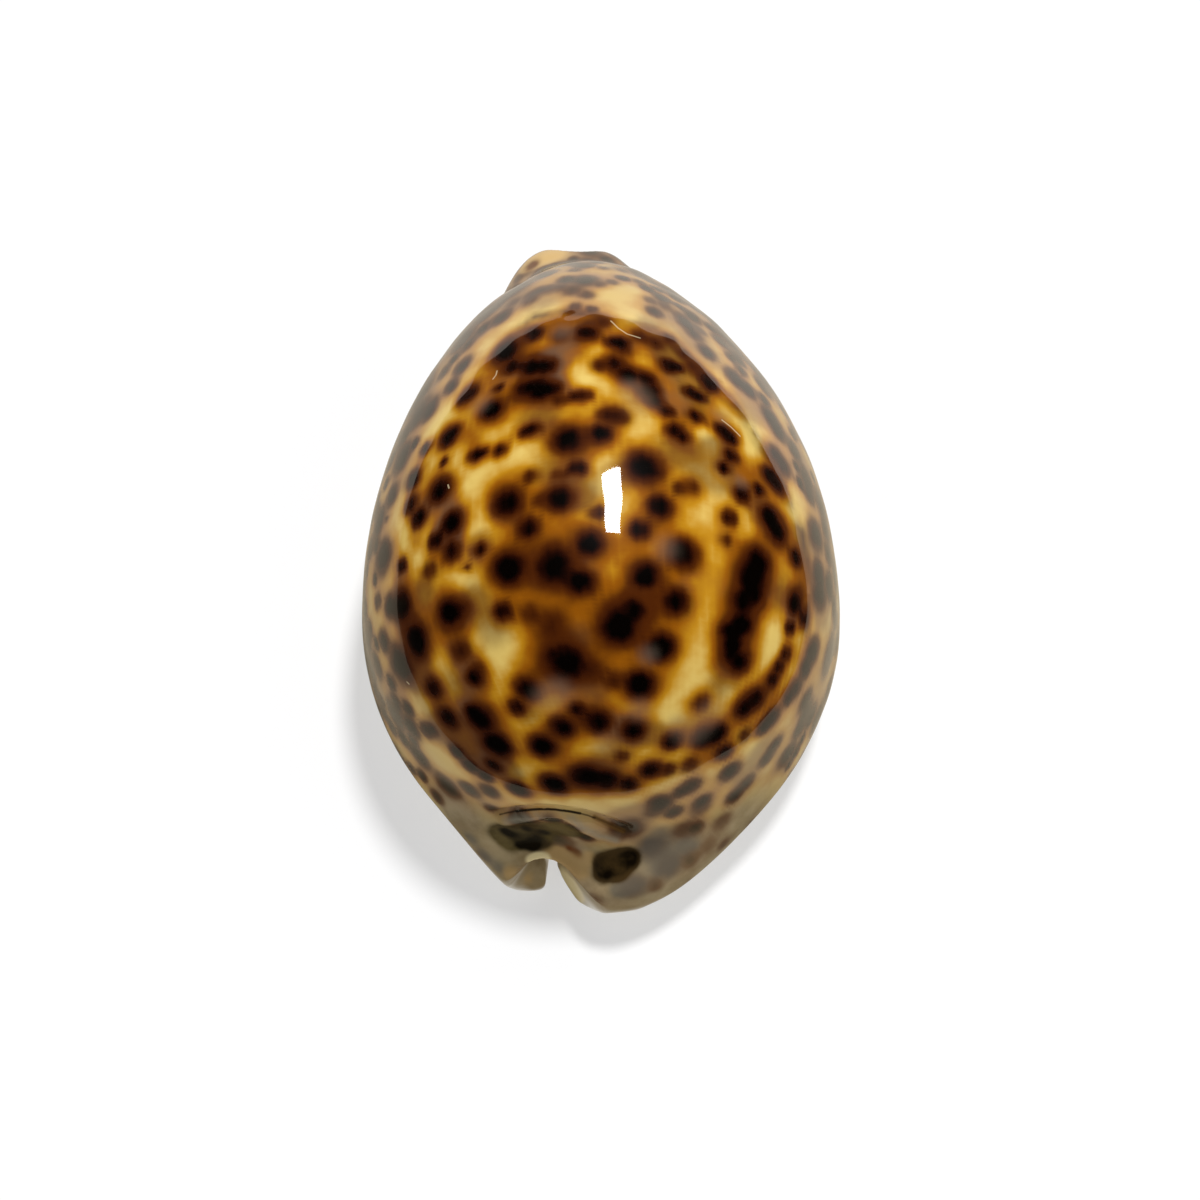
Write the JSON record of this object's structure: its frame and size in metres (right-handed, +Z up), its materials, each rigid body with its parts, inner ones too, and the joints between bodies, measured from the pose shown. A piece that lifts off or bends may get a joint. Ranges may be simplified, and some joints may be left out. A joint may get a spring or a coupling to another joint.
{
  "type": "cowrie shell",
  "caption": "Hollow egg-domed sea shell with a toothed slit along its flat base, a canal at each end, and a glossy amber back with dark brown spots",
  "frame": {"origin": "centre of the bounding box's bottom face, on the surface that the shell rests on", "axes": "+Y is the narrow front end with the siphon canal, -Y is the broad rear end, +X is the outer lip's side, +Z is up through the dome"},
  "size_m": [0.0544, 0.08, 0.0418],
  "materials": {
    "polished shell": "naturally polished shell, amber to cream under dark brown spots, white on the base"
  },
  "bodies": {
    "root": {"shell": "polished shell"}
  },
  "joints": []
}
